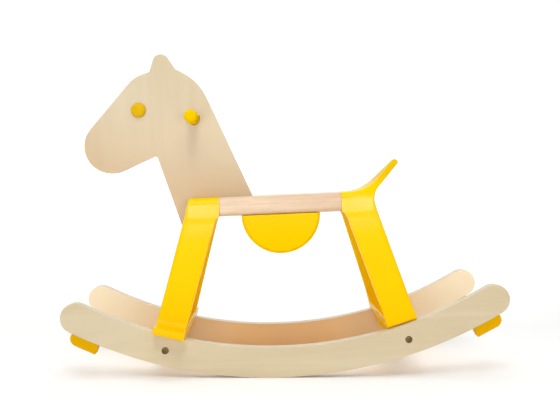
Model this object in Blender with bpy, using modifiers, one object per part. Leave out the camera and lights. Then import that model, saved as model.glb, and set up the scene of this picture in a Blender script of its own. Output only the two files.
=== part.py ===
"""Wooden rocking horse for a toddler. Metres, +Z up; the horse faces -Y and its left side is +X.

Two curved rocker boards carry two moulded ring frames. The frames lean apart, so that each stands square
on the rockers, and hold the seat plank between their crowns. The head board stands in a slot that runs
through the front crown and the front of the seat. The rear frame rises behind the seat as the tail.
"""

import math

import bmesh
import bpy
import numpy
from mathutils import Matrix, Vector
from mathutils.geometry import delaunay_2d_cdt

GAP = 0.0003  # between pieces that touch

# Rockers: arcs about a point ROCKER_RADIUS above the floor
ROCKER_RADIUS = 0.743
ROCKER_DEPTH = 0.049
ROCKER_THICKNESS = 0.022
ROCKER_SWEEP = math.radians(28.5)
TRACK = 0.282  # over the outer faces
ROCKER_SEGMENTS = 40
ROCKER_MID = (TRACK - ROCKER_THICKNESS) / 2
ROCKER_INSIDE = TRACK / 2 - ROCKER_THICKNESS

# Seat plank
SEAT_TOP = 0.2965
SEAT_THICKNESS = 0.0325
SEAT_LENGTH = 0.208
SEAT_WIDTH = 0.124
SEAT_EDGE = 0.009
SEAT_UNDERSIDE = SEAT_TOP - SEAT_THICKNESS

# Ring frames: distances from the middle of the horse, mirrored from front to rear
FOOT_INNER = 0.1687
FOOT_OUTER = 0.2163
LEG_INNER_TOP = 0.1009  # where the line of a leg's inner edge would reach the seat's top level
CROWN_INNER = SEAT_LENGTH / 2 + GAP
CROWN_OUTER = 0.1564
FOOT_HALF_WIDTH = 0.129
CROWN_HALF_WIDTH = SEAT_WIDTH / 2
CROWN_EDGE = 0.0125  # radius of the front crown's upper corners in front view
KNEE_LEVEL = 0.262  # where the upright crown bends into the splayed legs
KNEE_RADIUS = 0.055
LEG_THICKNESS = 0.0148
SILL_THICKNESS = 0.012  # the ring's lower bar, which lies across both rockers
WINDOW_RADIUS = 0.010
CROWN_STEP = 0.008  # height over which a leg's inner edge swings out under the seat's end
LEG_ROUNDING = 0.0065  # of a leg's outer corners
LEG_INSIDE_ROUNDING = 0.0018  # of those that face the middle of the horse
CROWN_ROUNDING = 0.0026
WINDOW_ROUNDING = 0.0022
SILL_ROUNDING = 0.0020
SILL_SPREAD = 0.0030  # by which its inner side leans towards the middle of the horse
SEAT_JOINT_ROUNDING = 0.0006  # where a crown lies flush against the seat's end
FOOTREST_REACH = 0.027  # beyond the rocker's outer face
FOOTREST_LIP = 0.0055  # radius of its upper edge
FOOTREST_NOSE = 0.0058  # radius of its lower edge
FOOTREST_FILLET = 0.012
FOOTREST_SPREAD = (0.0022, 0.0006)  # by which its tip is broader than the legs, inwards and outwards
TAB_RADIUS = 0.022
TAB_THICKNESS = 0.011

# Tail: a tongue that rises behind the seat. Lines of its top and underside in side view, at 45 degrees
RING_TOP = 0.2785  # the rear ring ends inside the tail
TAIL_TOP_FOOT = SEAT_TOP - 0.147  # where the line of its top leaves the seat's level
TAIL_BEND = 0.070
TAIL_THICKNESS = 0.0095
TAIL_ROOT = (0.1580, 0.2920)  # where the line of its underside would meet the line of the legs
TAIL_ROOT_RADIUS = 0.030
TAIL_HIDDEN = 0.270  # its lower side inside the ring
TAIL_TIP = (0.2050, 0.3520)  # upper corner of its end, before rounding
TAIL_TIP_ROUNDING = 0.0042
TAIL_SHOULDER = (0.0612, 0.3034)  # in front view, where its upright sides would meet its sloping ones
TAIL_SHOULDER_RADIUS = 0.025
TAIL_APEX = 0.3626  # height where its sloping sides would meet
TAIL_APEX_RADIUS = 0.0236
TAIL_SKIN = 0.00005  # by which it covers the ring's sides
TAIL_SEAT_EDGE = 0.0105  # radius of its upper edges at the seat
TAIL_EDGE = 0.0040  # and along the tongue

# Head board, handle and eyes
PANEL_THICKNESS = 0.018
SLOT_HALF_WIDTH = PANEL_THICKNESS / 2 + GAP
SLOT_FLOOR = 0.285
TONGUE_REAR = -0.126
TONGUE_BOTTOM = 0.246
NAPE_FOOT = -0.0474  # where the back of the neck meets the seat's top
HANDLE_PLACE = (-0.1455, 0.4362)
HANDLE_RADIUS = 0.011
HANDLE_LENGTH = 0.166
HANDLE_HOLE_RADIUS = 0.0117
EYE_PLACE = (-0.2403, 0.4545)
EYE_RADIUS = 0.0131
EYE_HEIGHT = 0.0085
EYE_PEG_RADIUS = 0.004
EYE_PEG_LENGTH = 0.007

# Saddle flaps
FLAP_RADIUS = 0.0675
FLAP_THICKNESS = 0.012
FLAP_FACE = 0.060  # distance of its outer face from the middle
FLAP_BEVEL = 0.0048
FLAP_MIDDLE = FLAP_FACE - FLAP_THICKNESS / 2

# Stoppers under the rocker ends
STOPPER_START = math.radians(24.35)
STOPPER_END = math.radians(28.04)
STOPPER_DEPTH = 0.0163
STOPPER_WIDTH = 0.020
STOPPER_TOE = 0.0125  # radius of the outer lower corner

# Fixings: radius of shank and head, and the clearance holes
BOLT_RADIUS = 0.003
BOLT_HOLE = 0.0033
BOLT_HEAD_RADIUS = 0.0055
BOLT_HEAD_HEIGHT = 0.0055
BOLT_HEAD_HOLE = 0.0059
HEX_KEY_RADIUS = 0.0033
ROCKER_BOLT_Y = 0.199
ROCKER_BOLT_END = 0.1085
INSERT_RADIUS = 0.005
INSERT_HOLE = 0.0053
SEAT_BOLT_X = 0.034
SEAT_BOLT_Z = 0.282
SEAT_BOLT_TIP = 0.072
SEAT_BOLT_HEAD_Y = 0.1555
BARREL_NUT_Y = 0.080
BARREL_NUT_RADIUS = 0.005
BARREL_NUT_HOLE = 0.0053
BARREL_NUT_BOTTOM = 0.2705
BARREL_NUT_TOP = 0.2875
BARREL_HOLE_TOP = 0.2880
DOWEL_RADIUS = 0.003
DOWEL_HOLE = 0.0033
DOWEL_Y = 0.032
DOWEL_BOTTOM = 0.2545
DOWEL_TOP = 0.2795
SCREW_RADIUS = 0.002
SCREW_HOLE = 0.0023
SCREW_HEAD_RADIUS = 0.004
SCREW_HEAD_DEPTH = 0.0028
HEAD_SCREWS_Y = (-0.092, -0.064)
HEAD_SCREW_LENGTH = 0.052
STOPPER_SCREW_LENGTH = 0.034
STOPPER_SCREW_ANGLES = (math.radians(25.2), math.radians(27.2))

SIDE_VIEW = Matrix(((0, 0, 1, 0), (1, 0, 0, 0), (0, 1, 0, 0), (0, 0, 0, 1)))  # outline x, y -> Y, Z
SIDES = (("left", 1), ("right", -1))
ENDS = (("front", -1), ("rear", 1))


def rocker_top(distance):
    """Height of the rocker's upper edge at this distance from the middle."""
    return ROCKER_RADIUS - math.sqrt((ROCKER_RADIUS - ROCKER_DEPTH) ** 2 - distance**2)


FOOT_LEVEL = rocker_top((FOOT_INNER + FOOT_OUTER) / 2) + GAP
ROCKER_BOLT_Z = ROCKER_RADIUS - math.sqrt((ROCKER_RADIUS - ROCKER_DEPTH / 2) ** 2 - ROCKER_BOLT_Y**2)


# ---------------------------------------------------------------------------------------------- helpers


def clear_scene():
    for old in list(bpy.data.objects):
        bpy.data.objects.remove(old, do_unlink=True)


def new_collection(name, hidden=False):
    collection = bpy.data.collections.new(name)
    collection.hide_render = hidden
    bpy.context.scene.collection.children.link(collection)
    return collection


def material(name, colour, roughness, metallic=0.0):
    made = bpy.data.materials.new(name)
    made.use_nodes = True
    shader = made.node_tree.nodes["Principled BSDF"]
    shader.inputs["Base Color"].default_value = (*colour, 1.0)
    shader.inputs["Roughness"].default_value = roughness
    shader.inputs["Metallic"].default_value = metallic
    made.diffuse_color = (*colour, 1.0)
    return made


def arc(centre, radius, start, end, steps):
    """Points on an arc, angles in radians counted from +X."""
    angles = [start + (end - start) * i / steps for i in range(steps + 1)]
    return [(centre[0] + radius * math.cos(a), centre[1] + radius * math.sin(a)) for a in angles]


def rounded(corners, most_turn=math.radians(15)):
    """Points of a closed outline whose corners (x, y, radius) are rounded by arcs."""
    points = []
    for i, (x, y, radius) in enumerate(corners):
        here = Vector((x, y))
        before = (Vector(corners[i - 1][:2]) - here).normalized()
        after = (Vector(corners[(i + 1) % len(corners)][:2]) - here).normalized()
        if radius == 0:
            points.append((x, y))
            continue
        half = before.angle(after) / 2
        centre = here + (before + after).normalized() * radius / math.sin(half)
        start = here + before * radius / math.tan(half) - centre
        turn = math.pi - 2 * half
        if before.x * after.y - before.y * after.x > 0:
            turn = -turn
        angle = math.atan2(start.y, start.x)
        steps = max(1, math.ceil(abs(turn) / most_turn))
        points += arc(centre, radius, angle, angle + turn, steps)
    return points


def mirrored(half):
    """A closed outline from its half at positive x, whose first and last points lie next to x = 0."""
    return half + [(-x, *rest) for x, *rest in reversed(half)]


def finish_mesh(name, mesh, owner, look):
    mesh.name = name
    mesh.materials.clear()
    mesh.materials.append(look)
    made = bpy.data.objects.new(name, mesh)
    owner.objects.link(made)
    return made


def outline_solid(name, outlines, thickness, view, middle, owner, look):
    """A flat piece: a filled 2D curve, extruded, then made a mesh so that it can be cut."""
    curve = bpy.data.curves.new(name, "CURVE")
    curve.dimensions = "2D"
    curve.fill_mode = "BOTH"
    curve.extrude = thickness / 2
    for outline in outlines:
        spline = curve.splines.new("POLY")
        spline.points.add(len(outline) - 1)
        for point, (x, y) in zip(spline.points, outline):
            point.co = (x, y, 0, 1)
        spline.use_cyclic_u = True
    drawn = bpy.data.objects.new(name, curve)
    owner.objects.link(drawn)
    bpy.context.view_layer.update()
    graph = bpy.context.evaluated_depsgraph_get()
    mesh = bpy.data.meshes.new_from_object(drawn.evaluated_get(graph))
    bpy.data.objects.remove(drawn, do_unlink=True)
    welded = bmesh.new()
    welded.from_mesh(mesh)
    bmesh.ops.remove_doubles(welded, verts=welded.verts, dist=1e-6)
    bmesh.ops.transform(welded, matrix=Matrix.Translation(middle) @ view, verts=welded.verts)
    bmesh.ops.recalc_face_normals(welded, faces=welded.faces)
    welded.to_mesh(mesh)
    welded.free()
    return finish_mesh(name, mesh, owner, look)


def round_edges(piece, width, segments=2):
    bevel = piece.modifiers.new("Rounded edges", "BEVEL")
    bevel.width = width
    bevel.segments = segments
    bevel.limit_method = "ANGLE"
    bevel.angle_limit = math.radians(40)
    bevel.use_clamp_overlap = True


def shade(piece):
    piece.data.shade_smooth()
    piece.data.set_sharp_from_angle(angle=math.radians(35))


def combine(piece, other, operation):
    other.hide_render = True
    other.display_type = "WIRE"
    step = piece.modifiers.new(other.name, "BOOLEAN")
    step.object = other
    step.operation = operation
    step.solver = "EXACT"


def aim(start, end):
    """Placement that puts local +Z along the way from start to end, with its origin at start."""
    way = Vector(end) - Vector(start)
    return Matrix.Translation(start) @ way.to_track_quat("Z", "Y").to_matrix().to_4x4()


def rod(name, start, end, radius, owner, look, sides=16):
    """A straight cylinder from start to end."""
    length = (Vector(end) - Vector(start)).length
    made = bmesh.new()
    middle = aim(start, end) @ Matrix.Translation((0, 0, length / 2))
    bmesh.ops.create_cone(
        made, cap_ends=True, segments=sides, radius1=radius, radius2=radius, depth=length, matrix=middle
    )
    mesh = bpy.data.meshes.new(name)
    made.to_mesh(mesh)
    made.free()
    return finish_mesh(name, mesh, owner, look)


def block(name, low, high, owner, look):
    """A box between two corners."""
    low, high = Vector(low), Vector(high)
    made = bmesh.new()
    size = Matrix.Diagonal((*(high - low), 1))
    bmesh.ops.create_cube(made, size=1, matrix=Matrix.Translation((low + high) / 2) @ size)
    mesh = bpy.data.meshes.new(name)
    made.to_mesh(mesh)
    made.free()
    return finish_mesh(name, mesh, owner, look)


def turned(name, profile, start, end, owner, look, steps=16):
    """A turned piece: the profile (radius, distance from start) runs from its far end back to start."""
    mesh = bpy.data.meshes.new(name)
    points = [(radius, 0, along) for radius, along in profile]
    mesh.from_pydata(points, [(i, i + 1) for i in range(len(points) - 1)], [])
    piece = finish_mesh(name, mesh, owner, look)
    piece.matrix_world = aim(start, end)
    spin = piece.modifiers.new("Turning", "SCREW")
    spin.steps = steps
    spin.render_steps = steps
    spin.use_merge_vertices = True
    spin.merge_threshold = 0.00001
    return piece


class Builder:
    """Holds the two collections and the materials, and drills and bolts the pieces."""

    def __init__(self):
        self.parts = new_collection("Rocking_horse")
        self.cutters = new_collection("Cutters", hidden=True)
        self.plywood = material("Birch plywood", (0.72, 0.58, 0.40), 0.45)
        self.rubberwood = material("Rubberwood", (0.80, 0.58, 0.38), 0.40)
        self.yellow = material("Yellow moulded plastic", (0.98, 0.62, 0.01), 0.25)
        self.lacquer = material("Yellow lacquered wood", (0.95, 0.60, 0.01), 0.30)
        self.steel = material("Blackened steel", (0.10, 0.09, 0.08), 0.35, 1.0)
        self.zinc = material("Zinc-plated steel", (0.60, 0.60, 0.62), 0.30, 1.0)
        self.beech = material("Beech dowel", (0.70, 0.50, 0.32), 0.60)
        self.cutting = material("Cutter", (0.8, 0.1, 0.1), 0.5)

    def drill(self, piece, name, start, end, radius, sides=16):
        combine(piece, rod(name, start, end, radius, self.cutters, self.cutting, sides), "DIFFERENCE")

    def mill(self, piece, name, low, high):
        combine(piece, block(name, low, high, self.cutters, self.cutting), "DIFFERENCE")

    def socket_bolt(self, name, start, way, length):
        """A hex-socket bolt whose head's outer face is at start and whose shank runs along way."""
        end = Vector(start) + Vector(way) * length
        profile = (
            (0, length),
            (BOLT_RADIUS - 0.0006, length),
            (BOLT_RADIUS, length - 0.0006),
            (BOLT_RADIUS, BOLT_HEAD_HEIGHT),
            (BOLT_HEAD_RADIUS, BOLT_HEAD_HEIGHT),
            (BOLT_HEAD_RADIUS, 0.0006),
            (BOLT_HEAD_RADIUS - 0.0006, 0),
            (0, 0),
        )
        bolt = turned(name, profile, start, end, self.parts, self.steel)
        socket_start = Vector(start) - Vector(way) * 0.002
        socket_end = Vector(start) + Vector(way) * 0.0036
        self.drill(bolt, name + "_key", socket_start, socket_end, HEX_KEY_RADIUS, sides=6)
        return bolt

    def wood_screw(self, name, start, way, length):
        """A countersunk screw whose flat head is at start and whose point is length away along way."""
        end = Vector(start) + Vector(way) * length
        profile = (
            (0, length),
            (SCREW_RADIUS, length - 0.004),
            (SCREW_RADIUS, SCREW_HEAD_DEPTH),
            (SCREW_HEAD_RADIUS, 0.0004),
            (SCREW_HEAD_RADIUS, 0),
            (0, 0),
        )
        return turned(name, profile, start, end, self.parts, self.zinc, steps=12)

    def countersink(self, piece, name, start, way, depth):
        """A screw hole with a cone for the head, open at start."""
        start, way = Vector(start), Vector(way)
        wide = SCREW_HEAD_RADIUS + 0.0004
        profile = (
            (0, depth),
            (SCREW_HOLE, depth),
            (SCREW_HOLE, 0.0040),
            (wide, 0.0006),
            (wide, -0.002),
            (0, -0.002),
        )
        cone = turned(name, profile, start, start + way, self.cutters, self.cutting, steps=12)
        combine(piece, cone, "DIFFERENCE")


# ---------------------------------------------------------------------------------------------- rockers


def on_arc(radius, angle):
    """The point (y, z) on a circle about the rockers' centre, at this angle from straight down."""
    return radius * math.sin(angle), ROCKER_RADIUS - radius * math.cos(angle)


def rocker_outline():
    inner = ROCKER_RADIUS - ROCKER_DEPTH
    centre_line = ROCKER_RADIUS - ROCKER_DEPTH / 2
    down = -math.pi / 2
    points = arc((0, ROCKER_RADIUS), ROCKER_RADIUS, down - ROCKER_SWEEP, down + ROCKER_SWEEP, ROCKER_SEGMENTS)
    rear = on_arc(centre_line, ROCKER_SWEEP)
    points += arc(rear, ROCKER_DEPTH / 2, down + ROCKER_SWEEP, down + ROCKER_SWEEP + math.pi, 10)[1:-1]
    points += arc((0, ROCKER_RADIUS), inner, down + ROCKER_SWEEP, down - ROCKER_SWEEP, ROCKER_SEGMENTS)
    front = on_arc(centre_line, -ROCKER_SWEEP)
    points += arc(front, ROCKER_DEPTH / 2, -down - ROCKER_SWEEP, math.pi - down - ROCKER_SWEEP, 10)[1:-1]
    return points


def stopper_outline(end):
    """Its top follows the rocker's underside, and its outer lower corner is well rounded."""
    step = (STOPPER_END - STOPPER_START) / 4
    top = [on_arc(ROCKER_RADIUS + GAP, STOPPER_START + step * i) for i in range(5)]
    bottom = [on_arc(ROCKER_RADIUS + STOPPER_DEPTH, a) for a in (STOPPER_END, STOPPER_START)]
    radii = (0.0010, 0, 0, 0, 0.0010, STOPPER_TOE, 0.0012)
    corners = [(end * y, z, radius) for (y, z), radius in zip(top + bottom, radii)]
    return rounded(corners, math.radians(22.5))


def add_rocker(make, side_name, side):
    rocker = outline_solid(
        "rocker_" + side_name, [rocker_outline()], ROCKER_THICKNESS, SIDE_VIEW, (side * ROCKER_MID, 0, 0),
        make.parts, make.plywood,
    )
    round_edges(rocker, 0.002, 1)
    for end_name, end in ENDS:
        name = f"{end_name}_{side_name}"
        y = end * ROCKER_BOLT_Y
        outside = side * TRACK / 2
        beyond = (2 * outside, y, ROCKER_BOLT_Z)
        make.drill(rocker, "rocker_bore_" + name, (0, y, ROCKER_BOLT_Z), beyond, BOLT_HOLE)
        seat = (outside - side * (BOLT_HEAD_HEIGHT + 0.001), y, ROCKER_BOLT_Z)
        make.drill(rocker, "rocker_counterbore_" + name, seat, beyond, BOLT_HEAD_HOLE)
        add_stopper(make, rocker, name, side, end)
    shade(rocker)


def add_stopper(make, rocker, name, side, end):
    middle = side * ROCKER_MID
    stopper = outline_solid(
        "stopper_" + name, [stopper_outline(end)], STOPPER_WIDTH, SIDE_VIEW, (middle, 0, 0),
        make.parts, make.yellow,
    )
    round_edges(stopper, 0.0014, 1)
    for number, angle in enumerate(STOPPER_SCREW_ANGLES, 1):
        y, z = on_arc(ROCKER_RADIUS + STOPPER_DEPTH - 0.001, angle)
        start = Vector((middle, end * y, z))
        way = Vector((0, -end * math.sin(angle), math.cos(angle)))
        hole = f"stopper_hole_{name}_{number}"
        make.countersink(stopper, hole, start, way, STOPPER_SCREW_LENGTH + 0.002)
        pilot_end = start + way * (STOPPER_SCREW_LENGTH + 0.001)
        make.drill(rocker, hole + "_pilot", start, pilot_end, SCREW_HOLE, 12)
        make.wood_screw(f"stopper_screw_{name}_{number}", start, way, STOPPER_SCREW_LENGTH)
    shade(stopper)


# ------------------------------------------------------------------------------------------ ring frames


def leg_face(level):
    """Half width over a frame's outer faces at this height."""
    splay = (FOOT_HALF_WIDTH - CROWN_HALF_WIDTH) / (KNEE_LEVEL - FOOT_LEVEL)
    return CROWN_HALF_WIDTH + splay * max(0, KNEE_LEVEL - level)


def with_levels(points, levels):
    """The closed outline with a point added wherever it crosses one of these heights."""
    made = []
    for i, (x, z) in enumerate(points):
        made.append((x, z))
        next_x, next_z = points[(i + 1) % len(points)]
        crossed = [level for level in levels if min(z, next_z) + 2e-4 < level < max(z, next_z) - 2e-4]
        for level in sorted(crossed, reverse=next_z < z):
            made.append((x + (next_x - x) * (level - z) / (next_z - z), level))
    return made


def ring_outside(end_name):
    """The frame's outer outline in front view."""
    sill_top = FOOT_LEVEL + SILL_THICKNESS
    half = [
        (CROWN_HALF_WIDTH, SEAT_TOP, CROWN_EDGE) if end_name == "front" else (CROWN_HALF_WIDTH, RING_TOP, 0),
        (CROWN_HALF_WIDTH, KNEE_LEVEL, KNEE_RADIUS),
    ]
    if end_name == "front":
        edge = TRACK / 2 + FOOTREST_REACH
        half += [
            (leg_face(sill_top), sill_top, FOOTREST_FILLET),
            (edge, sill_top, FOOTREST_LIP),
            (edge, FOOT_LEVEL, FOOTREST_NOSE),
        ]
    else:
        half += [(FOOT_HALF_WIDTH, FOOT_LEVEL, 0.0030)]
    return rounded(mirrored(half), math.radians(12))


def ring_window():
    """The opening inside the frame, in front view."""
    sill_top = FOOT_LEVEL + SILL_THICKNESS
    half = [
        (leg_face(SEAT_UNDERSIDE) - LEG_THICKNESS, SEAT_UNDERSIDE, WINDOW_RADIUS),
        (leg_face(sill_top) - LEG_THICKNESS, sill_top, WINDOW_RADIUS),
    ]
    return rounded(mirrored(half), math.radians(15))


def step_levels():
    """Heights at which the outlines need points, to follow the swing of a leg's inner edge under the seat."""
    low = SEAT_UNDERSIDE - CROWN_STEP
    levels = [low + CROWN_STEP * math.sin(math.radians(angle)) for angle in (0, 25, 45, 62, 78, 90)]
    return [low - 0.03, low - 0.015, *levels, FOOT_LEVEL + 0.045]


def outer_rounding(x, level, inner_side):
    """Radius of the frame's outer corners at this place."""
    if abs(x) > leg_face(level) + 0.004 or level < FOOT_LEVEL + SILL_THICKNESS + 0.002:
        return SILL_ROUNDING
    foot = min(1, (level - FOOT_LEVEL - SILL_THICKNESS) / 0.032)
    full, crown = (LEG_INSIDE_ROUNDING, SEAT_JOINT_ROUNDING) if inner_side else (LEG_ROUNDING, CROWN_ROUNDING)
    radius = SILL_ROUNDING + (full - SILL_ROUNDING) * foot
    low = SEAT_UNDERSIDE - CROWN_STEP - 0.02 if inner_side else SEAT_UNDERSIDE
    high = SEAT_UNDERSIDE if inner_side else SEAT_TOP - CROWN_EDGE
    if level > low:
        radius += (crown - radius) * min(1, (level - low) / (high - low))
    return radius


def inward(points, index, solid_inside):
    """Unit step from an outline's point into the material, lengthened where the outline turns."""
    here = Vector(points[index])
    before = (here - Vector(points[index - 1])).normalized()
    after = (Vector(points[(index + 1) % len(points)]) - here).normalized()
    along = (before + after).normalized()
    step = Vector((along.y, -along.x)) * (1 if solid_inside else -1)
    return step / max(0.5, before.dot(along))


def loop_rows(outline, rounding, solid_inside, depth):
    """Rows of points round one outline, from the frame's inner cap, over its wall, to its outer cap."""
    rows = []
    for side, angles in ((0, (0, 30, 60, 90)), (1, (90, 60, 30, 0))):
        for angle in (math.radians(a) for a in angles):
            row = []
            for i, (x, z) in enumerate(outline):
                radius = rounding(x, z, side == 0)
                cut = radius * (1 - math.cos(angle)) / depth
                step = inward(outline, i, solid_inside) * radius * (1 - math.sin(angle))
                row.append((x + step.x, 1 - cut if side else cut, z + step.y))
            rows.append(row)
    return rows


def lean(point, end):
    """Puts a point (x, share of the way from the frame's inner to its outer side, height) in its place."""
    x, outward, level = point
    height = (level - FOOT_LEVEL) / (SEAT_TOP - FOOT_LEVEL)
    spread_inwards = SILL_SPREAD * max(0, 1 - (level - FOOT_LEVEL) / (SILL_THICKNESS - SILL_ROUNDING))
    spread_outwards = 0
    beyond = abs(x) - leg_face(level) - FOOTREST_FILLET / 2
    if beyond > 0 and level < FOOT_LEVEL + 2 * SILL_THICKNESS:
        reach = TRACK / 2 + FOOTREST_REACH - leg_face(FOOT_LEVEL) - FOOTREST_FILLET / 2
        share = min(1, beyond / reach)
        spread_inwards = max(spread_inwards, FOOTREST_SPREAD[0] * share)
        spread_outwards = FOOTREST_SPREAD[1] * share
    spread = spread_outwards * outward - spread_inwards * (1 - outward)
    foot_z = rocker_top(FOOT_INNER + (FOOT_OUTER - FOOT_INNER) * outward + spread) + GAP
    z = foot_z + (SEAT_TOP - foot_z) * height
    inner = FOOT_INNER + (LEG_INNER_TOP - FOOT_INNER) * height
    outer = FOOT_OUTER + (CROWN_OUTER - FOOT_OUTER) * height
    rise = min(1, max(0, (level - SEAT_UNDERSIDE + CROWN_STEP) / CROWN_STEP))
    swing = 1 - math.sqrt(1 - rise**2)
    inner += (CROWN_INNER - inner) * swing
    z += (level - z) * swing * (1 - outward)
    return Vector((x, end * (inner + (outer - inner) * outward + spread), z))


def ring_body(name, end_name, end, owner, look):
    """A ring frame as one closed mesh: two walls of rounded rows, outside and window, joined by two caps."""
    depth = (FOOT_OUTER - FOOT_INNER + CROWN_OUTER - CROWN_INNER) / 2
    levels = step_levels()
    outside = with_levels(ring_outside(end_name), levels)
    window = with_levels(ring_window(), levels)
    walls = (
        loop_rows(outside, outer_rounding, True, depth),
        loop_rows(window, lambda x, level, inner_side: WINDOW_ROUNDING, False, depth),
    )
    made = bmesh.new()
    grids = [[[made.verts.new(lean(p, end)) for p in row] for row in rows] for rows in walls]
    for grid in grids:
        for low, high in zip(grid, grid[1:]):
            for i in range(len(low)):
                made.faces.new((low[i - 1], low[i], high[i], high[i - 1]))
    inner_chords = level_chords(outside, window, levels)
    for edge_row, chords in ((0, inner_chords), (-1, [])):
        flat = [Vector((p[0], p[2])) for rows in walls for p in rows[edge_row]]
        corners = [*grids[0][edge_row], *grids[1][edge_row]]
        for triangle in cap_triangles(flat, len(outside), chords):
            made.faces.new([corners[i] for i in triangle])
    bmesh.ops.recalc_face_normals(made, faces=made.faces)
    mesh = bpy.data.meshes.new(name)
    made.to_mesh(mesh)
    made.free()
    return finish_mesh(name, mesh, owner, look)


def level_chords(outside, window, levels):
    """Pairs of points, one on each outline, that a cap's triangles join so that it bends along the levels."""
    chords = []
    for level in levels:
        for side in (-1, 1):
            ends = [
                [i for i, (x, z) in enumerate(outline) if abs(z - level) < 1e-6 and x * side > 0.01]
                for outline in (outside, window)
            ]
            if len(ends[0]) == 1 and len(ends[1]) == 1:
                chords.append((ends[0][0], len(outside) + ends[1][0]))
    return chords


def cap_triangles(flat, outside_count, chords):
    """Triangles between the outside's points, listed first, and the window's, with the chords as edges."""
    whole = range(len(flat))
    edges = [(i, i + 1) for i in whole if i + 1 not in (outside_count, len(flat))]
    edges += [(outside_count - 1, 0), (len(flat) - 1, outside_count)]
    found = delaunay_2d_cdt(flat, edges + chords, [], 0, 1e-7)
    made = []
    for face in found[2]:
        corners = [found[3][i][0] for i in face]
        middle = sum((flat[i] for i in corners), Vector((0, 0))) / 3
        if inside(middle, flat[:outside_count]) and not inside(middle, flat[outside_count:]):
            made.append(corners)
    return made


def inside(point, outline):
    """Whether the point lies inside the closed outline."""
    crossings = 0
    for i, (x, y) in enumerate(outline):
        next_x, next_y = outline[(i + 1) % len(outline)]
        if (y > point.y) != (next_y > point.y):
            crossings += point.x < x + (next_x - x) * (point.y - y) / (next_y - y)
    return crossings % 2 == 1


def add_tabs(make, frame, end_name, end):
    """Round-ended lugs that reach down inside the rockers to their bolts, each with a threaded insert."""
    angle = math.asin(ROCKER_BOLT_Y / (ROCKER_RADIUS - ROCKER_DEPTH / 2))
    low = Vector(on_arc(ROCKER_RADIUS - ROCKER_DEPTH / 2, angle))
    high = Vector(on_arc(ROCKER_RADIUS - ROCKER_DEPTH - SILL_THICKNESS, angle))
    across = Vector((math.cos(angle), math.sin(angle))) * TAB_RADIUS
    down = (low - high).normalized() * TAB_RADIUS
    corners = ((high - across, 0), (high + across, 0), (low + across + down, 1), (low - across + down, 1))
    outline = rounded([(end * p.x, p.y, r * TAB_RADIUS * 0.98) for p, r in corners], math.radians(20))
    for side_name, side in SIDES:
        name = f"{end_name}_{side_name}"
        outside = ROCKER_INSIDE - GAP
        middle = (side * (outside - TAB_THICKNESS / 2), 0, 0)
        tab = outline_solid(
            "tab_" + name, [outline], TAB_THICKNESS, SIDE_VIEW, middle, make.cutters, make.yellow,
        )
        combine(frame, tab, "UNION")
        y = end * ROCKER_BOLT_Y
        inner_face = side * (outside - TAB_THICKNESS)
        bore = ((inner_face * share, y, ROCKER_BOLT_Z) for share in (0.9, 1.3))
        make.drill(frame, "insert_bore_" + name, *bore, INSERT_HOLE)
        face = side * (TRACK / 2 - 0.0005)
        length = TRACK / 2 - 0.0005 - ROCKER_BOLT_END
        make.socket_bolt("rocker_bolt_" + name, (face, y, ROCKER_BOLT_Z), (-side, 0, 0), length)
        add_insert(make, "threaded_insert_" + name, side * (outside - 0.0002), inner_face, y)


def add_insert(make, name, outside, inside, y):
    length = abs(outside - inside)
    profile = (
        (BOLT_HOLE, length),
        (INSERT_RADIUS, length),
        (INSERT_RADIUS, 0),
        (BOLT_HOLE, 0),
        (BOLT_HOLE, length),
    )
    turned(name, profile, (outside, y, ROCKER_BOLT_Z), (inside, y, ROCKER_BOLT_Z), make.parts, make.zinc)


def tail_half_width(z):
    """Half width of the tail at this height, from its outline in front view."""
    side, shoulder = TAIL_SHOULDER
    half = [(0, TAIL_APEX, TAIL_APEX_RADIUS), (side, shoulder, TAIL_SHOULDER_RADIUS), (side, 0.2, 0)]
    outline = rounded(half + [(-x, *rest) for x, *rest in reversed(half[1:])], math.radians(6))
    right = sorted((z, x) for x, z in outline if x >= 0)
    width = float(numpy.interp(z, [point[0] for point in right], [point[1] for point in right]))
    skirt = max(0, min(1, (shoulder - z) / 0.012))
    return width + (CROWN_HALF_WIDTH - side + TAIL_SKIN) * skirt


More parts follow.
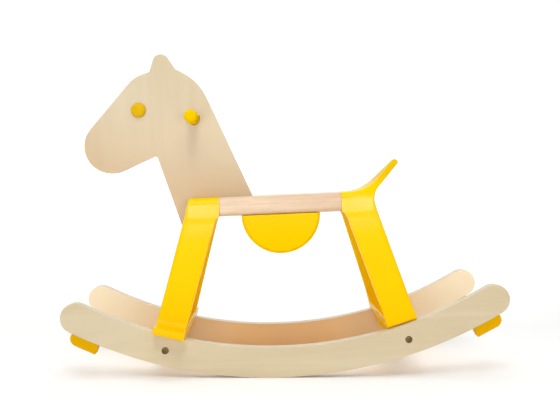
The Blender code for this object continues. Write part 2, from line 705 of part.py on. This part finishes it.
def tail_stations():
    """Pairs of points in side view, top and underside, from the seat's end to the tip."""
    slope = math.radians(45)
    bend = (TAIL_TOP_FOOT - TAIL_BEND * math.tan(slope / 2), SEAT_TOP + TAIL_BEND)
    lip = SEAT_JOINT_ROUNDING
    start = CROWN_INNER + 0.0002
    pairs = [
        ((start, SEAT_TOP - lip), (start, TAIL_HIDDEN + lip)),
        ((start + 0.3 * lip, SEAT_TOP - 0.3 * lip), (start + 0.3 * lip, TAIL_HIDDEN)),
        ((start + lip, SEAT_TOP), (start + lip, TAIL_HIDDEN)),
        ((start + 3 * lip, SEAT_TOP), (start + 3 * lip, TAIL_HIDDEN)),
    ]
    tops = arc(bend, TAIL_BEND, -math.pi / 2, slope - math.pi / 2, 9)
    leg_slope = math.atan2(FOOT_OUTER - CROWN_OUTER, SEAT_TOP - FOOT_LEVEL)
    turn = math.pi / 2 - slope + leg_slope
    way = Vector((math.cos(slope), math.sin(slope)))
    across = Vector((math.sin(slope), -math.cos(slope)))
    root = Vector(TAIL_ROOT)
    fillet_end = root + way * TAIL_ROOT_RADIUS * math.tan(turn / 2)
    centre = fillet_end + across * TAIL_ROOT_RADIUS
    last = math.atan2(-across.y, -across.x)
    fillet = arc(centre, TAIL_ROOT_RADIUS, last + turn, last, 6)
    unders = [(0.132, TAIL_HIDDEN), (0.146, TAIL_HIDDEN), (0.157, TAIL_HIDDEN), *fillet]
    pairs += list(zip(tops, unders))
    tip = Vector(TAIL_TIP)
    low_tip = tip + across * TAIL_THICKNESS
    from_top, from_under = Vector(tops[-1]), Vector(unders[-1])
    to_top, to_under = tip - way * TAIL_TIP_ROUNDING, low_tip - way * TAIL_TIP_ROUNDING
    for share in (0.14, 0.28, 0.42, 0.56, 0.70, 0.85, 1.0):
        pairs.append((from_top.lerp(to_top, share), from_under.lerp(to_under, share)))
    for angle in (math.radians(a) for a in (30, 60, 90)):
        ahead = way * TAIL_TIP_ROUNDING * math.sin(angle)
        inwards = across * TAIL_TIP_ROUNDING * (1 - math.cos(angle))
        pairs.append((to_top + ahead + inwards, to_under + ahead - inwards))
    return [(Vector(a), Vector(b)) for a, b in pairs]


def tail_section(top, under):
    """The tail's section between two points in side view: a slab with rounded corners."""
    height = (top - under).length
    share = min(1, max(0, (top.x - CROWN_INNER) / (TAIL_TOP_FOOT - CROWN_INNER)))
    upper = min(TAIL_SEAT_EDGE + (TAIL_EDGE - TAIL_SEAT_EDGE) * share, 0.46 * height)
    share = min(1, max(0, (under.x - TAIL_ROOT[0]) / 0.016))
    lower = min(LEG_ROUNDING + (TAIL_EDGE - LEG_ROUNDING) * share, 0.46 * height)
    wide, narrow = tail_half_width(under.y), tail_half_width(top.y)
    half = []
    for angle in (math.radians(a) for a in (90, 67.5, 45, 22.5, 0)):
        half.append((upper * (1 - math.cos(angle)), height - upper * (1 - math.sin(angle))))
    for angle in (math.radians(a) for a in (0, 22.5, 45, 67.5, 90)):
        half.append((lower * (1 - math.cos(angle)), lower * (1 - math.sin(angle))))
    points = [(wide + (narrow - wide) * up / height - inset, up) for inset, up in half]
    points = [(max(x, 0.0004), up) for x, up in points]
    return points + [(-x, up) for x, up in reversed(points)]


def add_tail(make, frame):
    """The tail, lofted through its sections, and joined to the rear ring's crown."""
    made = bmesh.new()
    rings = []
    for top, under in tail_stations():
        up = (top - under).normalized()
        ring = []
        for x, height in tail_section(top, under):
            place = under + up * height
            ring.append(made.verts.new((x, place.x, place.y)))
        rings.append(ring)
    for near, far in zip(rings, rings[1:]):
        for i in range(len(near)):
            made.faces.new((near[i - 1], near[i], far[i], far[i - 1]))
    made.faces.new(rings[0])
    made.faces.new(rings[-1])
    bmesh.ops.recalc_face_normals(made, faces=made.faces)
    mesh = bpy.data.meshes.new("tail_tongue")
    made.to_mesh(mesh)
    made.free()
    tail = finish_mesh("tail_tongue", mesh, make.cutters, make.yellow)
    combine(frame, tail, "UNION")


def add_frame(make, end_name, end):
    frame = ring_body(end_name + "_leg_frame", end_name, end, make.parts, make.yellow)
    if end_name == "rear":
        add_tail(make, frame)
    add_tabs(make, frame, end_name, end)
    for side_name, side in SIDES:
        name = f"{end_name}_{side_name}"
        x = side * SEAT_BOLT_X
        make.drill(
            frame, "crown_bore_" + name, (x, end * 0.09, SEAT_BOLT_Z), (x, end * 0.20, SEAT_BOLT_Z), BOLT_HOLE
        )
        seat = SEAT_BOLT_HEAD_Y - BOLT_HEAD_HEIGHT - 0.001
        make.drill(
            frame, "crown_counterbore_" + name, (x, end * seat, SEAT_BOLT_Z), (x, end * 0.20, SEAT_BOLT_Z),
            BOLT_HEAD_HOLE,
        )
        head = (x, end * SEAT_BOLT_HEAD_Y, SEAT_BOLT_Z)
        make.socket_bolt("seat_bolt_" + name, head, (0, -end, 0), SEAT_BOLT_HEAD_Y - SEAT_BOLT_TIP)
    if end_name == "front":
        wide = SLOT_HALF_WIDTH
        make.mill(frame, "crown_slot", (-wide, -0.25, 0.23), (wide, TONGUE_REAR + GAP, 0.32))
        make.mill(frame, "crown_notch", (-wide, -0.14, SLOT_FLOOR), (wide, -0.08, 0.32))
    shade(frame)


# ----------------------------------------------------------------------------------- seat and its fixings


def add_seat(make):
    low = (-SEAT_WIDTH / 2, -SEAT_LENGTH / 2, SEAT_UNDERSIDE)
    high = (SEAT_WIDTH / 2, SEAT_LENGTH / 2, SEAT_TOP)
    seat = block("seat_plank", low, high, make.parts, make.rubberwood)
    round_long_edges(seat)
    wide = SLOT_HALF_WIDTH
    make.mill(seat, "seat_slot", (-wide, -0.12, SLOT_FLOOR), (wide, NAPE_FOOT + GAP, 0.32))
    for end_name, end in ENDS:
        for side_name, side in SIDES:
            name = f"{end_name}_{side_name}"
            x = side * SEAT_BOLT_X
            bore = ((x, end * y, SEAT_BOLT_Z) for y in (0.12, SEAT_BOLT_TIP - 0.001))
            make.drill(seat, "seat_bore_" + name, *bore, BOLT_HOLE)
            y = end * BARREL_NUT_Y
            make.drill(seat, "barrel_bore_" + name, (x, y, 0.25), (x, y, BARREL_HOLE_TOP), BARREL_NUT_HOLE)
            add_barrel_nut(make, "barrel_nut_" + name, x, y)
    for number, y in enumerate(HEAD_SCREWS_Y, 1):
        make.countersink(seat, f"head_screw_hole_{number}", (0, y, SEAT_UNDERSIDE + 0.001), (0, 0, 1), 0.03)
        make.wood_screw(f"head_screw_{number}", (0, y, SEAT_UNDERSIDE + 0.001), (0, 0, 1), HEAD_SCREW_LENGTH)
    for side_name, side in SIDES:
        add_flap(make, seat, side_name, side)
    shade(seat)


def round_long_edges(seat):
    """Rounds the plank's four long edges and leaves its end faces square."""
    marked = seat.data.attributes.new("bevel_weight_edge", "FLOAT", "EDGE")
    for edge in seat.data.edges:
        a, b = (seat.data.vertices[v].co for v in edge.vertices)
        marked.data[edge.index].value = 1.0 if abs(a.y - b.y) > 0.01 else 0.0
    bevel = seat.modifiers.new("Rounded long edges", "BEVEL")
    bevel.width = SEAT_EDGE
    bevel.segments = 4
    bevel.limit_method = "WEIGHT"


def add_barrel_nut(make, name, x, y):
    low, high = (x, y, BARREL_NUT_BOTTOM), (x, y, BARREL_NUT_TOP)
    nut = rod(name, low, high, BARREL_NUT_RADIUS, make.parts, make.zinc)
    make.drill(nut, name + "_thread", (x, y - 0.02, SEAT_BOLT_Z), (x, y + 0.02, SEAT_BOLT_Z), BOLT_HOLE, 12)
    shade(nut)


def add_flap(make, seat, side_name, side):
    """Half a disc, chamfered round its rim, that hangs under the seat's edge on two dowels."""
    rim = FLAP_RADIUS - FLAP_BEVEL
    profile = (
        (0, FLAP_THICKNESS),
        (rim, FLAP_THICKNESS),
        (FLAP_RADIUS, FLAP_THICKNESS - FLAP_BEVEL),
        (FLAP_RADIUS, FLAP_BEVEL),
        (rim, 0),
        (0, 0),
    )
    start = (side * (FLAP_FACE - FLAP_THICKNESS), 0, SEAT_UNDERSIDE)
    end = (side * FLAP_FACE, 0, SEAT_UNDERSIDE)
    flap = turned("saddle_flap_" + side_name, profile, start, end, make.parts, make.yellow, steps=72)
    low = (side * FLAP_MIDDLE - FLAP_THICKNESS, -0.08, SEAT_UNDERSIDE - GAP)
    high = (side * FLAP_MIDDLE + FLAP_THICKNESS, 0.08, SEAT_UNDERSIDE + 0.08)
    make.mill(flap, "flap_upper_half_" + side_name, low, high)
    for end_name, end in ENDS:
        name = f"{side_name}_{end_name}"
        x, y = side * FLAP_MIDDLE, end * DOWEL_Y
        low, high = Vector((x, y, DOWEL_BOTTOM)), Vector((x, y, DOWEL_TOP))
        spare = Vector((0, 0, 0.0005))
        for piece, piece_name in ((flap, "flap_bore_"), (seat, "seat_dowel_bore_")):
            make.drill(piece, piece_name + name, low - spare, high + spare, DOWEL_HOLE, 12)
        rod("flap_dowel_" + name, low, high, DOWEL_RADIUS, make.parts, make.beech, 12)
    shade(flap)


# ------------------------------------------------------------------------------------------------- head


def head_outline():
    """The head board in side view: corners (y, z, radius), clockwise from the back of its foot."""
    return rounded(
        [
            (NAPE_FOOT, SLOT_FLOOR + GAP, 0),
            (NAPE_FOOT, SEAT_TOP, 0),
            (-0.1332, 0.5015, 0.090),  # back of the head
            (-0.1735, 0.5240, 0.006),  # behind the ear
            (-0.2018, 0.5702, 0.0145),  # ear
            (-0.2182, 0.5208, 0.003),  # in front of the ear
            (-0.2472, 0.5110, 0.050),  # forehead
            (-0.4699, 0.2668, 0.0474),  # muzzle, where the lines of face and jaw would meet
            (-0.2120, 0.3747, 0.006),  # throat
            (-0.1724, TONGUE_BOTTOM, 0.004),
            (TONGUE_REAR, TONGUE_BOTTOM, 0.004),
            (TONGUE_REAR, SLOT_FLOOR + GAP, 0),
        ],
        math.radians(9),
    )


def add_head(make):
    panel = outline_solid(
        "head_panel", [head_outline()], PANEL_THICKNESS, SIDE_VIEW, (0, 0, 0), make.parts, make.plywood
    )
    round_edges(panel, 0.0015, 1)
    y, z = HANDLE_PLACE
    make.drill(panel, "handle_hole", (-0.05, y, z), (0.05, y, z), HANDLE_HOLE_RADIUS, 24)
    y, z = EYE_PLACE
    for side_name, side in SIDES:
        deep = side * (PANEL_THICKNESS / 2 - EYE_PEG_LENGTH - 0.0008)
        outside = (side * 0.05, y, z)
        make.drill(panel, "eye_hole_" + side_name, (deep, y, z), outside, EYE_PEG_RADIUS + GAP, 12)
        add_eye(make, side_name, side)
    for number, y in enumerate(HEAD_SCREWS_Y, 1):
        top = SEAT_UNDERSIDE + HEAD_SCREW_LENGTH + 0.002
        make.drill(panel, f"panel_pilot_{number}", (0, y, 0.27), (0, y, top), SCREW_HOLE, 12)
    shade(panel)


def add_eye(make, side_name, side):
    """A domed button with a peg that sits in the head board."""
    y, z = EYE_PLACE
    face = PANEL_THICKNESS / 2 + GAP
    dome = [
        (EYE_RADIUS * math.cos(a), EYE_PEG_LENGTH + 0.0015 + (EYE_HEIGHT - 0.0015) * math.sin(a))
        for a in (math.radians(18 * i) for i in range(5, -1, -1))
    ]
    profile = [(0, dome[0][1]), *dome[1:], (EYE_RADIUS - 0.0008, EYE_PEG_LENGTH)]
    profile += [(EYE_PEG_RADIUS, EYE_PEG_LENGTH), (EYE_PEG_RADIUS, 0), (0, 0)]
    start = (side * (face - EYE_PEG_LENGTH), y, z)
    eye = turned("eye_" + side_name, profile, start, (side, y, z), make.parts, make.lacquer, steps=20)
    shade(eye)


def add_handle(make):
    """The hand grip: a dowel through the neck, with domed ends."""
    y, z = HANDLE_PLACE
    half = HANDLE_LENGTH / 2
    turns = [math.radians(angle) for angle in (90, 65, 40, 20, 0)]
    dome = [(HANDLE_RADIUS - 0.006 + 0.006 * math.cos(a), 0.006 * math.sin(a) - 0.006) for a in turns]
    far = [(0, HANDLE_LENGTH)] + [(radius, HANDLE_LENGTH + along) for radius, along in dome]
    near = [(radius, -along) for radius, along in reversed(dome)] + [(0, 0)]
    handle = turned("handle_bar", far + near, (-half, y, z), (half, y, z), make.parts, make.lacquer, steps=24)
    shade(handle)


def main():
    clear_scene()
    make = Builder()
    for side_name, side in SIDES:
        add_rocker(make, side_name, side)
    for end_name, end in ENDS:
        add_frame(make, end_name, end)
    add_seat(make)
    add_head(make)
    add_handle(make)


main()
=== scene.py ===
"""Looks of the wooden rocking horse: materials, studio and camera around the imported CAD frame."""

import math

import bpy
from mathutils import Matrix, Vector

CAMERA_PLACE = Vector((1.7002, -0.0289, 0.3231))
CAMERA_YAW = math.radians(0.969)  # towards +Y
CAMERA_PITCH = math.radians(-1.823)
LENS = 61.78
SENSOR_WIDTH = 36
ROCKED = math.radians(2.452)  # the horse stands rocked forward by this much
ROCKER_RADIUS = 0.743
HARD_EDGE = math.radians(50)
FLAP_HARD_EDGE = math.radians(30)
WELD_DISTANCE = 0.000002

ALONG_Y, ALONG_Z = 1, 2  # axes that a grain follows
GRAIN_STRETCH = 0.06
PLY_THICKNESS = 0.0016
ROCKER_MIDDLE = 0.130  # from the middle of the horse to the middle of a rocker's thickness
# Where looks change over, each as the place where the change starts and the one where it is complete
HEAD_PAINTED_SHADE = (0.395, 0.27)  # height, for the painted shade at the head panel's foot
HEAD_SLANT = 0.3  # that change's rise per metre towards the front
INNER_SHADE_FADES = (0.08, 0.30)  # distance from the middle of the rocker's length, for the painted light and shade along the rockers' inward faces
YELLOW_LOW_SHADE = (0.27, 0.07)  # height, for the painted shade low on the yellow pieces
LOW_SHEEN_ENDS = (0.225, 0.262)  # height
HIGH_SHEEN_STARTS = (0.284, 0.294)  # height
YELLOW_SHADE_ABOVE = (0.300, 0.325)  # height, for the painted shade on the yellow pieces above the seat
PAPER_BRIGHTENS = (-0.4, -1.8)  # X, behind the horse
PAPER_GLOW = (0.055, 0.45)  # its strength in front of that change and behind it

FLOOR_FRONT = 4.0
FLOOR_BACK = -1.6
WALL_CURVE = 1.4
WALL_TOP = 6.0
BACKDROP_HALF_WIDTH = 6.0
FLOOR_CLEARANCE = 0.0002  # the floor lies this much below the rockers


# ---------------------------------------------------------------------------------------------- node helpers


class Graph:
    """A material's node tree, with short calls for its nodes."""

    def __init__(self, name):
        self.material = bpy.data.materials.new(name)
        self.material.use_nodes = True
        self.tree = self.material.node_tree
        self.shader = self.tree.nodes["Principled BSDF"]

    def node(self, kind, inputs=None, **settings):
        made = self.tree.nodes.new(kind)
        for key, value in settings.items():
            setattr(made, key, value)
        for key, value in (inputs or {}).items():
            self.put(made.inputs[key], value)
        return made

    def put(self, socket, value):
        if isinstance(value, bpy.types.NodeSocket):
            self.tree.links.new(value, socket)
        else:
            socket.default_value = value

    def place(self, scale=(1, 1, 1)):
        """Object coordinates, scaled."""
        where = self.node("ShaderNodeTexCoord").outputs["Object"]
        return self.node("ShaderNodeMapping", {"Vector": where, "Scale": scale}).outputs["Vector"]

    def noise(self, vector, scale, detail, roughness=0.5, distortion=0.0):
        inputs = {
            "Vector": vector,
            "Scale": scale,
            "Detail": detail,
            "Roughness": roughness,
            "Distortion": distortion,
        }
        return self.node("ShaderNodeTexNoise", inputs).outputs["Fac"]

    def span(self, value, low, high, to_low=0.0, to_high=1.0):
        inputs = {"Value": value, "From Min": low, "From Max": high, "To Min": to_low, "To Max": to_high}
        return self.node("ShaderNodeMapRange", inputs).outputs["Result"]

    def math(self, operation, *values):
        made = self.node("ShaderNodeMath", operation=operation)
        for socket, value in zip(made.inputs, values):
            self.put(socket, value)
        return made.outputs["Value"]

    def mix(self, factor, a, b, blend="MIX", kind="RGBA"):
        inputs = {"Factor": factor, "A": a, "B": b}
        return self.node("ShaderNodeMix", inputs, data_type=kind, blend_type=blend).outputs["Result"]

    def axes(self, vector):
        return self.node("ShaderNodeSeparateXYZ", {"Vector": vector}).outputs

    def bump(self, height, distance, strength):
        inputs = {"Height": height, "Distance": distance, "Strength": strength}
        return self.node("ShaderNodeBump", inputs).outputs["Normal"]

    def set(self, **inputs):
        for key, value in inputs.items():
            self.put(self.shader.inputs[key.replace("_", " ")], value)


def srgb(red, green, blue):
    """A colour given as 0-255 screen values, as Blender's linear values."""

    def linear(value):
        value /= 255
        return value / 12.92 if value <= 0.04045 else ((value + 0.055) / 1.055) ** 2.4

    return (linear(red), linear(green), linear(blue), 1.0)


# ------------------------------------------------------------------------------------------------ materials


def wood(
    name, light, dark, grain_axis, rings, figure, roughness=0.42, ply_middle=None, inner_shade=None, low=None
):
    """Lacquered wood with its grain along one axis. Plywood also has the X of its middle ply, and can have
    painted light and shade on its faces towards the middle of the horse, or painted shade low down."""
    g = Graph(name)
    stretch = [1.0, 1.0, 1.0]
    stretch[grain_axis] = GRAIN_STRETCH
    along = g.place(scale=stretch)
    broad = g.noise(along, rings, detail=3.0, roughness=0.55, distortion=0.6)
    fine = g.noise(along, rings * 9, detail=5.0, roughness=0.6)
    pores = g.noise(along, rings * 30, detail=2.0, roughness=0.5)
    cloud = g.noise(g.place(), 7.0, detail=2.0)
    tone = g.mix(g.span(broad, 0.35, 0.65), light, dark)
    tone = g.mix(g.span(fine, 0.40, 0.75, 0.0, 0.45 * figure), tone, dark)
    deep = tuple(channel * 0.62 for channel in dark[:3]) + (1.0,)
    tone = g.mix(g.span(pores, 0.62, 0.80, 0.0, 0.35 * figure), tone, deep)
    tone = g.mix(g.span(cloud, 0.3, 0.7, 0.0, 0.12 * figure), tone, deep)
    # painted shade: the head panel turns darker and warmer towards its foot, along a slanted line
    if low:
        place = g.axes(g.place())
        slanted = g.math("MULTIPLY_ADD", place["Y"], HEAD_SLANT, place["Z"])
        tone = g.mix(g.span(slanted, *HEAD_PAINTED_SHADE, 0.0, 0.9), tone, low)
    # painted light and shade on the faces towards the middle of the horse
    if inner_shade:
        tone = paint_inner_shade(g, tone, *inner_shade)
    if ply_middle is not None:
        tone = ply_edges(g, tone, deep, ply_middle)
    g.set(Base_Color=tone, Roughness=g.span(fine, 0.3, 0.7, roughness - 0.05, roughness + 0.07))
    g.set(Coat_Weight=0.35, Coat_Roughness=0.22, Specular_IOR_Level=0.5)
    g.set(Normal=g.bump(g.math("ADD", fine, g.math("MULTIPLY", pores, 0.6)), 0.00012, 0.6))
    return g.material


def paint_inner_shade(g, tone, ends, middle):
    """Painted light and shade on the faces towards the middle of the horse: pale at their ends, darker and
    warm midway along, where the horse above shades them.
    """
    place = g.axes(g.place())
    facing = g.axes(g.node("ShaderNodeNewGeometry").outputs["Normal"])
    inwards = g.math("MULTIPLY", facing["X"], g.math("SIGN", place["X"]))
    midway = g.span(g.math("ABSOLUTE", place["Y"]), *INNER_SHADE_FADES, 1.0, 0.0)
    return g.mix(g.span(inwards, -0.4, -0.9, 0.0, 0.85), tone, g.mix(midway, ends, middle))


def ply_edges(g, tone, deep, ply_middle):
    """Darker cross plies on the edges of a board, which are the faces that look along it."""
    x = g.math("ABSOLUTE", g.axes(g.place())["X"])
    layer = g.math("PINGPONG", g.math("SUBTRACT", x, ply_middle), PLY_THICKNESS)
    band = g.span(layer, PLY_THICKNESS * 0.40, PLY_THICKNESS * 0.60)
    facing = g.node("ShaderNodeNewGeometry").outputs["Normal"]
    across = g.span(g.math("ABSOLUTE", g.axes(facing)["X"]), 0.35, 0.15)
    return g.mix(g.math("MULTIPLY", g.math("MULTIPLY", band, across), 0.30), tone, deep)


def yellow(name, colour, roughness, sheen, sheen_above, shade_above=1.0):
    """Yellow plastic or lacquer with orange peel and faint scuffs, painted shade that makes it warmer low
    down and tone that drifts at random. Its sheen is weak below the seat, full beside it and another value
    above it, where painted shade can darken its colour too."""
    g = Graph(name)
    height = g.axes(g.place())["Z"]
    drift = g.noise(g.place(), 9.0, detail=3.0)
    scuff = g.noise(g.place(scale=(1, 1, 0.4)), 220.0, detail=4.0, roughness=0.65)
    peel = g.noise(g.place(), 900.0, detail=2.0)
    # painted shade: warmer and darker low down; the same colour also drifts in at random
    warm = (colour[0], colour[1] * 0.85, colour[2] * 0.9, 1.0)
    shade_and_drift = g.math("ADD", g.span(height, *YELLOW_LOW_SHADE, 0.0, 0.75), g.span(drift, 0.35, 0.65, 0.0, 0.2))
    tone = g.mix(shade_and_drift, colour, warm)
    # painted shade: the colour is darkened above the seat
    shaded_tone = g.mix(1.0, tone, (shade_above, shade_above, shade_above, 1.0), "MULTIPLY")
    g.set(Base_Color=g.mix(g.span(height, *YELLOW_SHADE_ABOVE), tone, shaded_tone))
    g.set(Roughness=g.span(scuff, 0.45, 0.8, roughness, roughness + 0.12))
    low_sheen = g.span(height, *LOW_SHEEN_ENDS, 0.15 * sheen, sheen)
    above = g.span(height, *HIGH_SHEEN_STARTS)
    g.set(Specular_IOR_Level=g.mix(above, low_sheen, sheen_above, kind="FLOAT"))
    g.set(Normal=g.bump(peel, 0.00006, 0.5))
    return g.material


def metal(name, colour, roughness):
    """Steel with fine streaks, brighter where it is worn."""
    g = Graph(name)
    streak = g.noise(g.place(), 600.0, detail=4.0, roughness=0.7)
    worn = tuple(min(1.0, channel * 1.6) for channel in colour[:3]) + (1.0,)
    g.set(Base_Color=g.mix(g.span(streak, 0.55, 0.8, 0.0, 0.5), colour, worn), Metallic=1.0)
    g.set(Roughness=g.span(streak, 0.3, 0.7, roughness - 0.06, roughness + 0.1))
    g.set(Normal=g.bump(streak, 0.00003, 0.5))
    return g.material


def plain_board(name, colour):
    """The studio's seamless paper, which glows more the farther it is behind the horse."""
    g = Graph(name)
    g.set(Base_Color=colour, Roughness=0.85, Specular_IOR_Level=0.2)
    g.set(Emission_Color=(1.0, 1.0, 1.0, 1.0))
    g.set(Emission_Strength=g.span(g.axes(g.place())["X"], *PAPER_BRIGHTENS, *PAPER_GLOW))
    return g.material


def smooth(node, hard_edge):
    """Shades the piece smoothly, with hard edges only where its faces meet sharply."""
    mesh = node.data
    if "custom_normal" in mesh.attributes:
        mesh.attributes.remove(mesh.attributes["custom_normal"])
    mesh.shade_smooth()
    meeting = {}
    for face in mesh.polygons:
        for edge in face.edge_keys:
            ends = frozenset(tuple(round(c, 6) for c in mesh.vertices[v].co) for v in edge)
            meeting.setdefault(ends, []).append((edge, face.normal.copy()))
    index = {edge.key: edge for edge in mesh.edges}
    for sides in meeting.values():
        if len(sides) == 2 and sides[0][1].angle(sides[1][1], 0) > hard_edge:
            for edge, _ in sides:
                index[edge].use_edge_sharp = True
    weld = node.modifiers.new("Weld", "WELD")
    weld.merge_threshold = WELD_DISTANCE
    even = node.modifiers.new("Even shading", "WEIGHTED_NORMAL")
    even.keep_sharp = True


def dress(nodes):
    """Gives each piece its material and its smooth shading."""
    ply = wood(
        "birch_ply", srgb(213, 198, 164), srgb(202, 183, 146), ALONG_Y, 26.0, 0.6,
        # painted light at the rockers' ends and painted shade midway along their faces towards the middle
        ply_middle=ROCKER_MIDDLE, inner_shade=(srgb(246, 226, 192), srgb(226, 174, 110)),
    )
    head_ply = wood(
        "birch_ply_head", srgb(212, 197, 165), srgb(205, 187, 153), ALONG_Z, 18.0, 0.35,
        # painted shade for the head panel's foot
        ply_middle=0.0, low=srgb(196, 166, 122),
    )
    seat_wood = wood("rubberwood", srgb(243, 218, 186), srgb(212, 177, 142), ALONG_Y, 40.0, 1.5, 0.38)
    beech = wood("beech", srgb(226, 190, 150), srgb(200, 158, 116), ALONG_Z, 60.0, 1.0, 0.6)
    # the last value, 0.80, is painted shade above the seat
    moulded = yellow("yellow_moulded", srgb(248, 203, 0), 0.22, 0.36, 0.004, 0.80)
    # painted shade: the stoppers, in the shade under the rockers, get a darker yellow
    shaded_stopper = yellow("yellow_stopper_shaded", srgb(216, 172, 0), 0.50, 0.10, 0.05)
    button = yellow("yellow_button", srgb(218, 176, 0), 0.24, 0.06, 0.09)
    painted = yellow("yellow_lacquer", srgb(236, 194, 0), 0.40, 0.0, 0.0)
    flap = yellow("yellow_flap", srgb(246, 202, 0), 0.35, 0.06, 0.06)
    dark_steel = metal("dark_steel", srgb(116, 98, 62), 0.42)
    zinc = metal("zinc_steel", srgb(176, 176, 180), 0.34)
    looks = {
        "rocker_left": ply,
        "rocker_right": ply,
        "head_panel": head_ply,
        "seat_plank": seat_wood,
        "handle_bar": painted,
        "eye_left": button,
        "eye_right": button,
    }
    kinds = (
        (("rocker_bolt", "seat_bolt"), dark_steel),
        (("barrel_nut", "threaded_insert", "head_screw", "stopper_screw"), zinc),
        (("flap_dowel",), beech),
        (("front_leg", "rear_leg"), moulded),
        (("saddle_flap",), flap),
        (("stopper_",), shaded_stopper),
    )
    for name, node in nodes.items():
        look = looks.get(name)
        for starts, kind in kinds:
            if look is None and name.startswith(starts):
                look = kind
        node.data.materials.clear()
        node.data.materials.append(look)
        smooth(node, FLAP_HARD_EDGE if name.startswith("saddle_flap") else HARD_EDGE)


# ------------------------------------------------------------------------------------------------ the studio


def add_backdrop():
    """A seamless sheet: the floor, which the rocked horse's rockers touch, sweeps up behind into a wall."""
    turns = [math.radians(6 * i) for i in range(1, 16)]
    profile = [(FLOOR_FRONT, 0.0), (FLOOR_BACK, 0.0)]
    profile += [(FLOOR_BACK - WALL_CURVE * math.sin(a), WALL_CURVE * (1 - math.cos(a))) for a in turns]
    profile += [(FLOOR_BACK - WALL_CURVE, WALL_TOP)]
    points = [(x, side * BACKDROP_HALF_WIDTH, z) for x, z in profile for side in (-1, 1)]
    faces = [(2 * i, 2 * i + 1, 2 * i + 3, 2 * i + 2) for i in range(len(profile) - 1)]
    mesh = bpy.data.meshes.new("backdrop")
    mesh.from_pydata(points, [], faces)
    mesh.shade_smooth()
    backdrop = bpy.data.objects.new("backdrop", mesh)
    bpy.context.scene.collection.objects.link(backdrop)
    touch_z = ROCKER_RADIUS * (1 - math.cos(ROCKED)) - FLOOR_CLEARANCE
    touch = Vector((0, -ROCKER_RADIUS * math.sin(ROCKED), touch_z))
    backdrop.matrix_world = Matrix.Translation(touch) @ Matrix.Rotation(-ROCKED, 4, "X")
    mesh.materials.append(plain_board("backdrop_paper", (0.905, 0.905, 0.90, 1.0)))


def add_light(name, place, target, size, power, reflected=True):
    """A rectangular area light. Glossy faces mirror it unless reflected is off."""
    data = bpy.data.lights.new(name, "AREA")
    data.shape = "RECTANGLE"
    data.size, data.size_y = size
    data.energy = power
    lamp = bpy.data.objects.new(name, data)
    lamp.location = place
    lamp.rotation_euler = (Vector(target) - Vector(place)).to_track_quat("-Z", "Y").to_euler()
    lamp.visible_glossy = reflected
    bpy.context.scene.collection.objects.link(lamp)


def add_world():
    """Dim studio walls above a bright low band, so that upright faces carry the reflections."""
    world = bpy.data.worlds.new("studio")
    world.use_nodes = True
    tree = world.node_tree
    where = tree.nodes.new("ShaderNodeTexCoord")
    split = tree.nodes.new("ShaderNodeSeparateXYZ")
    ramp = tree.nodes.new("ShaderNodeValToRGB")
    tree.links.new(where.outputs["Generated"], split.inputs["Vector"])
    tree.links.new(split.outputs["Z"], ramp.inputs["Fac"])
    tree.links.new(ramp.outputs["Color"], tree.nodes["Background"].inputs["Color"])
    stops = ((0.0, 0.45), (0.10, 0.42), (0.25, 0.28), (1.0, 0.28))
    for i, (place, grey) in enumerate(stops):
        stop = ramp.color_ramp.elements[i] if i < 2 else ramp.color_ramp.elements.new(place)
        stop.position = place
        stop.color = (grey, grey, grey, 1.0)
    tree.nodes["Background"].inputs["Strength"].default_value = 1.0
    bpy.context.scene.world = world


def add_lights():
    add_light("overhead", (0.3, 0.1, 2.5), (0.0, 0, 0.2), (2.6, 2.6), 37, reflected=False)
    add_light("key", (1.7, 0.0, 2.0), (0, 0, 0.35), (0.8, 0.8), 16)
    add_light("front_panel", (2.6, -0.52, 0.385), (0, -0.52, 0.385), (0.66, 0.43), 8)
    add_light("rear_panel", (2.6, 0.62, 0.385), (0, 0.62, 0.385), (0.66, 0.43), 9)
    add_light("side", (0.0, -2.4, 0.5), (0, 0.1, 0.15), (1.2, 1.0), 9, reflected=False)


def add_camera():
    """The camera, rolled by as much as the horse is rocked, so that the floor looks level."""
    forward = Vector(
        (
            -math.cos(CAMERA_YAW) * math.cos(CAMERA_PITCH),
            math.sin(CAMERA_YAW) * math.cos(CAMERA_PITCH),
            math.sin(CAMERA_PITCH),
        )
    )
    right = forward.cross(Vector((0, 0, 1))).normalized()
    up = right.cross(forward)
    tilted_up = up * math.cos(ROCKED) + right * math.sin(ROCKED)
    tilted_right = right * math.cos(ROCKED) - up * math.sin(ROCKED)
    data = bpy.data.cameras.new("camera")
    data.sensor_width = SENSOR_WIDTH
    data.lens = LENS
    camera = bpy.data.objects.new("camera", data)
    turn = Matrix((tilted_right, tilted_up, -forward)).transposed().to_4x4()
    camera.matrix_world = Matrix.Translation(CAMERA_PLACE) @ turn
    bpy.context.scene.collection.objects.link(camera)
    bpy.context.scene.camera = camera


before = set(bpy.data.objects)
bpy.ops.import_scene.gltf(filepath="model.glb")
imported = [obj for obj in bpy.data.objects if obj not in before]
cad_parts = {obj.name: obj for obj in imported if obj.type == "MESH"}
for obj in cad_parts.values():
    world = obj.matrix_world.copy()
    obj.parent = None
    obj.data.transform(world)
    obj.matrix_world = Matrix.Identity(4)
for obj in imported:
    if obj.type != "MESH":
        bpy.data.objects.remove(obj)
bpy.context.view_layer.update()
bpy.context.scene.view_settings.view_transform = "Standard"
dress(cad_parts)
add_backdrop()
add_world()
add_lights()
add_camera()
